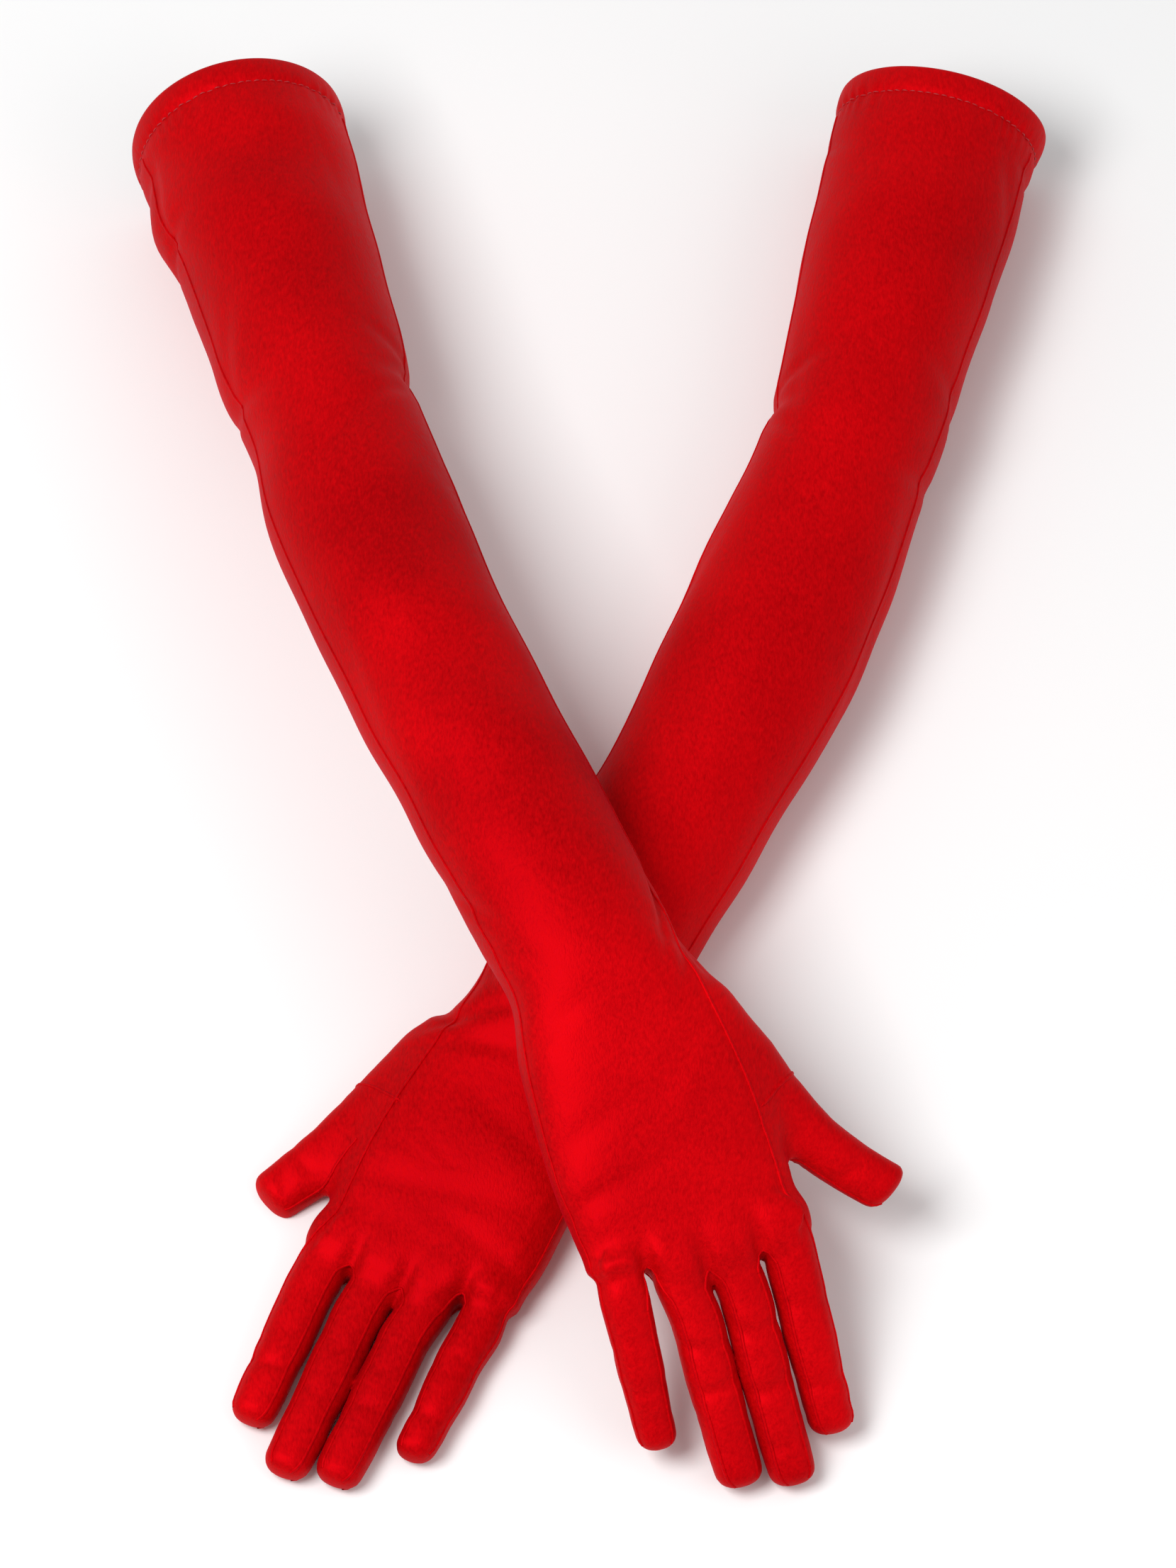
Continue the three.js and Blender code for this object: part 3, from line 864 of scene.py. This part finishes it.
def divide(arm, limbs, points):
    """A label for each point: the number of the piece of cloth it belongs to."""
    s = points[:, 1]
    label = np.where(s < SLEEVE_END, 0, np.where(s < WRIST_END, 1, 2))
    nearest = np.argmin([limb.field(points) for limb in limbs[:4]], 0)
    label = np.where(s > FINGER_START, FIRST_LIMB + nearest, label)
    t, _, _ = limbs[4].local(points)
    beside = limbs[4].field(points)
    is_thumb = (t > THUMB_START) & (beside < arm_field(arm, points)) & (beside < THUMB_REACH)
    near_thumb = beside < limbs[0].field(points)
    return np.where(is_thumb & near_thumb, PIECES.index("thumb"), label)


# ---- Seams and stitches: thin tubes laid on the cloth ----
# A side seam's degrees round the arm, how far it rises over the wrist, and degrees round the finger
THUMB_SIDE_SEAM = (14, 22, 20)
LITTLE_SIDE_SEAM = (163, 0, 162)
WEB_SEAM_DEGREES = 50
THUMB_SEAM_DEGREES = 158
THUMB_RING = (9.0, 3.0)  # how far up the thumb its set-in seam lies, and how much that varies
STITCH_POINTS = 7
STITCH_TURNS = 721


def resample(path, step):
    path = np.asarray(path, float)
    length = path_length(path)
    at = np.linspace(0, length[-1], max(3, round(length[-1] / step) + 1))
    return read_columns(at, length, path)


def tube(spots, normals, width, height, sides=6):
    """A tube along spots, half sunk in the cloth; width and height are one number for each spot."""
    tangent = unit(np.gradient(spots, axis=0))
    side = unit(np.cross(tangent, normals))
    up = np.cross(side, tangent)
    turn = np.arange(sides) * 2 * math.pi / sides
    sideways = side[:, None] * np.cos(turn)[None, :, None] * width[:, None, None]
    upwards = up[:, None] * np.sin(turn)[None, :, None] * height[:, None, None]
    verts = (spots[:, None] + sideways + upwards).reshape(-1, 3)
    rows = [k * sides + np.arange(sides) for k in range(len(spots))]
    quads = ring_quads(rows)
    return verts, quads


def join_tubes(tubes):
    verts, quads, total = [], [], 0
    for points, faces in tubes:
        verts.append(points)
        quads.append(faces + total)
        total += len(points)
    return np.vstack(verts), np.vstack(quads)


def side_seam(arm, limb, degrees, rise, limb_degrees):
    """From the hem along one side of the arm and out along the finger on that side."""
    s = np.arange(RIM_AT + STITCH_LINE + 3, WEB_AT - 14, SEAM_STEP)
    angle = np.radians(degrees + rise * smoothstep(s, WRIST_AT - 18, WRIST_AT + 30))
    power = 2 / arm.squareness(s)
    a = arm.width(s) / 2 * np.sign(np.cos(angle)) * np.abs(np.cos(angle)) ** power
    o = arm.height(s) / 2 * np.abs(np.sin(angle)) ** power
    t = np.arange(2.0, limb.length - 1.0, SEAM_STEP)
    finger = limb.point(t, np.full(len(t), math.radians(limb_degrees)))
    return np.vstack([np.stack([a, s, o], 1), finger])


def web_seam(near, far, degrees):
    """Up one finger's side, round the web, and down the next finger's side."""
    angle = math.radians(degrees)
    t_near = np.arange(near.length - 0.8, 3.0, -SEAM_STEP)
    t_far = np.arange(3.0, far.length - 0.8, SEAM_STEP)
    side = 1 if degrees > 0 else -1
    first = near.point(t_near, np.full(len(t_near), side * math.pi - angle))
    second = far.point(t_far, np.full(len(t_far), angle))
    middle = (near.root + far.root) / 2
    middle[1] = web_line(middle[:1])[0] + 1.5
    middle[2] += 5.5 * side
    return np.vstack([first, middle, second])


def thumb_seams(thumb):
    """The seam that sets the thumb in, and the one along its back."""
    turn = np.linspace(0, 2 * math.pi, 60)
    base = thumb.point(THUMB_RING[0] + THUMB_RING[1] * np.cos(turn), turn, 1.0)
    t = np.arange(THUMB_START + 4, thumb.length - 0.5, SEAM_STEP)
    back = thumb.point(t, np.full(len(t), math.radians(THUMB_SEAM_DEGREES)))
    return [base, back]


def seam_paths(surface):
    arm, limbs = surface.arm, surface.limbs
    paths = [side_seam(arm, limbs[0], *THUMB_SIDE_SEAM), side_seam(arm, limbs[3], *LITTLE_SIDE_SEAM)]
    for near, far in zip(limbs[:3], limbs[1:4]):
        paths.append(web_seam(near, far, WEB_SEAM_DEGREES))
        paths.append(web_seam(near, far, -WEB_SEAM_DEGREES))
    return paths + thumb_seams(limbs[4])


def seam_tubes(surface):
    """All seams, divided between the pieces of cloth they lie on."""
    found = {part: [] for part in PIECES}
    for path in seam_paths(surface):
        path = resample(path, SEAM_STEP)
        spots, normals = surface.on_cloth(path)
        label = divide(surface.arm, surface.limbs, path)
        cuts = np.flatnonzero(np.diff(label)) + 1
        for run in np.split(np.arange(len(path)), cuts):
            run = np.append(run, run[-1] + 1) if run[-1] + 1 < len(path) else run
            if len(run) < 3:
                continue
            width, height = np.full(len(run), SEAM_WIDTH), np.full(len(run), SEAM_HEIGHT)
            found[PIECES[label[run[0]]]].append(tube(spots[run], normals[run], width, height))
    return found


def stitches(surface):
    """The row of stitches that holds the hem, in the groove they pull."""
    arm, glove = surface.arm, surface.glove
    angle = np.linspace(-math.pi, math.pi, STITCH_TURNS)[:-1]
    stand = dict(HEM_OUTSIDE)[STITCH_LINE] + 0.1
    loop = place(arm, section(arm, glove, RIM_AT + STITCH_LINE, stand, angle), 0.05)
    outer = place(arm, section(arm, glove, RIM_AT + STITCH_LINE, stand + 1, angle), 0.05)
    normals = unit(outer - loop + 1e-6)
    length = path_length(loop)
    sewn_share = STITCH_LENGTH / (STITCH_LENGTH + STITCH_GAP)
    count = int(length[-1] / (STITCH_LENGTH + STITCH_GAP))
    tubes = []
    for k in range(count):
        at = (k + np.linspace(0, 1, STITCH_POINTS) * sewn_share) * length[-1] / count
        spots = read_columns(at, length, loop)
        lie = unit(read_columns(at, length, normals))
        arch = np.sin(np.linspace(0.12, math.pi - 0.12, STITCH_POINTS))
        girth = STITCH_RADIUS * arch**0.5
        tubes.append(tube(spots + lie * (0.18 * arch - 0.1)[:, None], lie, girth, girth))
    return join_tubes(tubes)


def hem_rings(surface, outline, floor, lift):
    """Rings along an outline inside the hem; the deeper inside, the higher they lie off the table."""
    arm, glove, angle = surface.arm, surface.glove, surface.angle
    rings = []
    for depth, stand in outline:
        ring = section(arm, glove, RIM_AT + depth, stand, angle)
        rings.append(place(arm, ring, floor - lift * stand))
    numbers = [k * len(angle) + np.arange(len(angle)) for k in range(len(rings))]
    return np.vstack(rings), numbers


def hem_facing(surface):
    """The hem's inside: from the rolled rim down over the tape to its stitched edge."""
    points, numbers = hem_rings(surface, HEM_INSIDE, 0.25, 0.3)
    return points, ring_quads(numbers)[:, ::-1]


def tape(surface):
    """The knitted elastic tape inside the hem, ribbed along its length."""
    start, end = TAPE_SPAN
    outline = []
    for depth in np.arange(start, end + 0.01, TAPE_STEP):
        outline.append((depth, -TAPE_DEPTH + TAPE_RIB * math.cos(2 * math.pi * depth)))
    for depth in np.arange(end, start - 0.01, -TAPE_STEP):
        outline.append((depth, -TAPE_DEPTH - TAPE_THICKNESS - TAPE_RIB * math.cos(2 * math.pi * depth)))
    points, numbers = hem_rings(surface, outline, 0.3, 0.25)
    return points, ring_quads(numbers + numbers[:1])


def new_object(name, verts, faces, material, slot="satin"):
    mesh = bpy.data.meshes.new(name)
    mesh.from_pydata((np.asarray(verts) * MM).tolist(), [], np.asarray(faces).tolist())
    mesh.update()
    mesh.shade_smooth()
    mesh.materials.append(material)
    piece = bpy.data.objects.new(name, mesh)
    bpy.context.scene.collection.objects.link(piece)
    return piece


def cloth_piece(name, surface, chosen, material):
    """The quads picked out by chosen, with the normals they have in the whole glove."""
    used, faces = np.unique(surface.quads[chosen], return_inverse=True)
    piece = new_object(name, surface.world[used], faces.reshape(-1, 4), material)
    piece.data.normals_split_custom_set_from_vertices(surface.normals[used].tolist())
    return piece


def panels(surface, part):
    """The quads of each flat cut in a part; fingers and thumb are sewn from a back and a palm."""
    chosen = surface.label == PIECES.index(part)
    if part in ("sleeve", "wrist", "hand"):
        return {part: chosen}
    limb = surface.limbs[PIECES.index(part) - FIRST_LIMB]
    above = limb.local(surface.straight[surface.quads].mean(1))[2] >= 0
    return {f"{part}_back": chosen & above, f"{part}_palm": chosen & ~above}


def world_point(arm, a, s, o):
    return Vector((arm.to_world(np.array([[a, s, o]], float))[0] * MM).tolist())


def limb_bend(surface, part):
    """Where in the straight space a finger's or the thumb's bend starts and ends."""
    limb = surface.limbs[PIECES.index(part) - FIRST_LIMB]
    tilt, first, reach = THUMB_BLEND[surface.glove["name"]] if part == "thumb" else FINGER_BLEND
    angle = math.radians(tilt)
    way = math.cos(angle) * limb.direction + math.sin(angle) * limb.across
    return [limb.root + way * t for t in (first, first + reach)]


def attach(surface, piece, part):
    """Moves a hand piece with its hand's body. For any other piece it works out the two bodies and the ends
    of the bend at its root, but only bakes the piece's transform where it stands; it is not attached or
    bent.
    """
    side = surface.glove["name"]
    if part == "hand":
        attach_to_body(piece, f"{side}_hand")
        return
    if part in ARM_BENDS:
        near_body, far_body, span = ARM_BENDS[part]
        ends = [(0, s, 0) for s in span]
    else:
        near_body, far_body, ends = "hand", part, limb_bend(surface, part)
    start, end = (world_point(surface.arm, *point) for point in ends)
    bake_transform(piece)


# The imported parts that each panel replaces and hides; a panel not listed here replaces the part of its own
# name
REPLACED = {
    "sleeve": ["upper_sleeve_back", "upper_sleeve_palm", "forearm_back", "forearm_palm"],
    "wrist": [],
    "hand": ["hand_back", "hand_palm"],
    "index_palm": ["index_palm", "index_fourchette_ulnar_side"],
    "middle_palm": ["middle_palm", "middle_fourchette_thumb_side", "middle_fourchette_ulnar_side"],
    "ring_palm": ["ring_palm", "ring_fourchette_thumb_side", "ring_fourchette_ulnar_side"],
    "little_palm": ["little_palm", "little_fourchette_thumb_side"],
}


def build_glove(glove, satin, thread, reverse, elastic):
    surface = Surface(glove)
    side = glove["name"]
    seams = seam_tubes(surface)
    for part in PIECES:
        sewn = []
        if seams[part]:
            sewn = [new_object(f"{side}_{part}_seams", *join_tubes(seams[part]), satin)]
            attach(surface, sewn[0], part)
        for panel, chosen in panels(surface, part).items():
            piece = cloth_piece(f"{side}_{panel}_satin", surface, chosen, satin)
            attach(surface, piece, part)
            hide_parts(*[f"{side}_{node}" for node in REPLACED.get(panel, [panel])])
            sewn = []
    facing = new_object(f"{side}_hem_facing", *hem_facing(surface), reverse, "hem_facing")
    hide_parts(f"{side}_cuff_hem_facing")
    band = new_object(f"{side}_elastic_tape", *tape(surface), elastic, "elastic")
    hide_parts(f"{side}_cuff_elastic")
    sewing = new_object(f"{side}_hem_stitches", *stitches(surface), thread)
    for piece in (facing, band, sewing):
        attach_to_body(piece, f"{side}_upper_sleeve")


# ---- Materials ----
def new_material(name):
    material = bpy.data.materials.new(name)
    material.use_nodes = True
    nodes = material.node_tree.nodes
    return material, nodes, material.node_tree.links, nodes["Principled BSDF"]


def noise_node(nodes, links, scale, detail, stretch=(1, 1, 1), turn=0.0):
    """Noise in the piece's own space, drawn out along one direction in the plane of the table."""
    place = nodes.new("ShaderNodeTexCoord")
    mapping = nodes.new("ShaderNodeMapping")
    mapping.inputs["Rotation"].default_value = (0, 0, turn)
    mapping.inputs["Scale"].default_value = stretch
    noise = nodes.new("ShaderNodeTexNoise")
    noise.inputs["Scale"].default_value = scale
    noise.inputs["Detail"].default_value = detail
    links.new(place.outputs["Object"], mapping.inputs["Vector"])
    links.new(mapping.outputs["Vector"], noise.inputs["Vector"])
    return noise.outputs["Fac"]


def combine(nodes, links, first, second, share):
    """first and second mixed as plain numbers, share of the second."""
    mix = nodes.new("ShaderNodeMix")
    mix.data_type = "FLOAT"
    mix.inputs["Factor"].default_value = share
    links.new(first, mix.inputs["A"])
    links.new(second, mix.inputs["B"])
    return mix.outputs["Result"]


def ramp_node(nodes, links, value, low, high, dark, light):
    ramp = nodes.new("ShaderNodeValToRGB")
    for element, position, colour in zip(ramp.color_ramp.elements, (low, high), (dark, light)):
        element.position = position
        element.color = (*colour, 1)
    links.new(value, ramp.inputs["Fac"])
    return ramp.outputs["Color"]


def bump_node(nodes, links, height, strength, distance):
    bump = nodes.new("ShaderNodeBump")
    bump.inputs["Strength"].default_value = strength
    bump.inputs["Distance"].default_value = distance
    links.new(height, bump.inputs["Height"])
    return bump.outputs["Normal"]


SATIN_FINISH = {
    "Metallic": 0.4,
    "IOR": 1.3,
    "Specular Tint": (0.95, 0.05, 0.16, 1),
    "Sheen Weight": 0.06,
    "Sheen Roughness": 0.35,
    "Sheen Tint": (0.7, 0.01, 0.16, 1),
}
DEEP_RED = (0.37, 0.0002, 0.0012)
BRIGHT_RED = (0.66, 0.0014, 0.003)


def satin_material(name, turn):
    """Red satin whose floats run along the glove, turned by this angle on the table."""
    material, nodes, links, shader = new_material(name)
    for socket, value in SATIN_FINISH.items():
        shader.inputs[socket].default_value = value
    threads = noise_node(nodes, links, 1700, 2, (1, 0.3, 1), turn)
    slubs = noise_node(nodes, links, 760, 4, (1, 0.6, 1), turn)
    cloud = noise_node(nodes, links, 11, 3)
    grain = combine(nodes, links, threads, slubs, 0.5)
    tone = combine(nodes, links, grain, cloud, 0.45)
    colour = ramp_node(nodes, links, tone, 0.36, 0.64, DEEP_RED, BRIGHT_RED)
    rough = ramp_node(nodes, links, grain, 0.32, 0.68, (0.48,) * 3, (0.68,) * 3)
    links.new(colour, shader.inputs["Base Color"])
    links.new(rough, shader.inputs["Roughness"])
    links.new(bump_node(nodes, links, grain, 0.4, 0.0005), shader.inputs["Normal"])
    return material


def plain_cloth(name, colour, roughness, scale):
    """A plain weave, with painted shade in its hollows: the colour is darkened where the weave's bump is
    low.
    """
    material, nodes, links, shader = new_material(name)
    shader.inputs["Roughness"].default_value = roughness
    weave = noise_node(nodes, links, scale, 2)
    # painted shade: the weave's colour darkened to 0.7 where its noise, which also drives the bump, is low
    painted_hollow_shade = tuple(0.7 * c for c in colour)
    links.new(ramp_node(nodes, links, weave, 0, 1, painted_hollow_shade, colour), shader.inputs["Base Color"])
    links.new(bump_node(nodes, links, weave, 0.3, 0.0003), shader.inputs["Normal"])
    return material


# ---- Room, light and camera ----
def make_floor():
    material, _, _, shader = new_material("paper_floor")
    shader.inputs["Base Color"].default_value = (0.9, 0.9, 0.9, 1)
    shader.inputs["Roughness"].default_value = 0.9
    bpy.ops.mesh.primitive_plane_add(size=12, location=(0, 0, 0))
    floor = bpy.context.object
    floor.name = "floor"
    floor.data.materials.append(material)


def add_light(name, place, target, size, power):
    light = bpy.data.lights.new(name, "AREA")
    light.size = size
    light.energy = power
    lamp = bpy.data.objects.new(name, light)
    lamp.location = place
    lamp.rotation_euler = (Vector(target) - Vector(place)).to_track_quat("-Z", "Y").to_euler()
    bpy.context.scene.collection.objects.link(lamp)


def make_lights():
    world = bpy.data.worlds.new("studio")
    bpy.context.scene.world = world
    world.use_nodes = True
    background = world.node_tree.nodes["Background"]
    background.inputs["Color"].default_value = (1, 1, 1, 1)
    background.inputs["Strength"].default_value = 0.5
    add_light("key", (-0.7, -0.45, 1.5), (0, 0, 0), 0.8, 22)
    add_light("fill", (1.3, -0.8, 1.2), (0, 0, 0), 1.2, 5)


CAMERA_DISTANCE = 2.5
CAMERA_ELEVATION = 60.0
FRAME_HEIGHT = 0.54349  # metres from top to bottom of the picture, where the camera aims
SENSOR_HEIGHT = 24.0
CAMERA_AIM = (-0.001, 0.0024, 0.0)


def make_camera():
    camera = bpy.data.cameras.new("camera")
    camera.sensor_fit = "VERTICAL"
    camera.sensor_height = SENSOR_HEIGHT
    camera.lens = SENSOR_HEIGHT * CAMERA_DISTANCE / FRAME_HEIGHT
    rig = bpy.data.objects.new("camera", camera)
    elevation = math.radians(CAMERA_ELEVATION)
    towards = Vector((0, -math.cos(elevation), math.sin(elevation)))
    rig.location = Vector(CAMERA_AIM) + CAMERA_DISTANCE * towards
    rig.rotation_euler = (math.pi / 2 - elevation, 0, 0)
    bpy.context.scene.collection.objects.link(rig)
    bpy.context.scene.camera = rig


bpy.context.scene.view_settings.view_transform = "Standard"
make_camera()
make_floor()
make_lights()
SATIN = {
    "left": satin_material("left_red_satin", 0.5),
    "right": satin_material("right_red_satin", -0.46),
}
THREAD = plain_cloth("red_thread", (0.45, 0.003, 0.008), 0.5, 2500)
REVERSE = plain_cloth("satin_reverse", (0.36, 0.006, 0.012), 0.75, 1600)
ELASTIC = plain_cloth("elastic_tape", (0.8, 0.77, 0.7), 0.85, 1200)
for item in GLOVES:
    build_glove(item, SATIN[item["name"]], THREAD, REVERSE, ELASTIC)
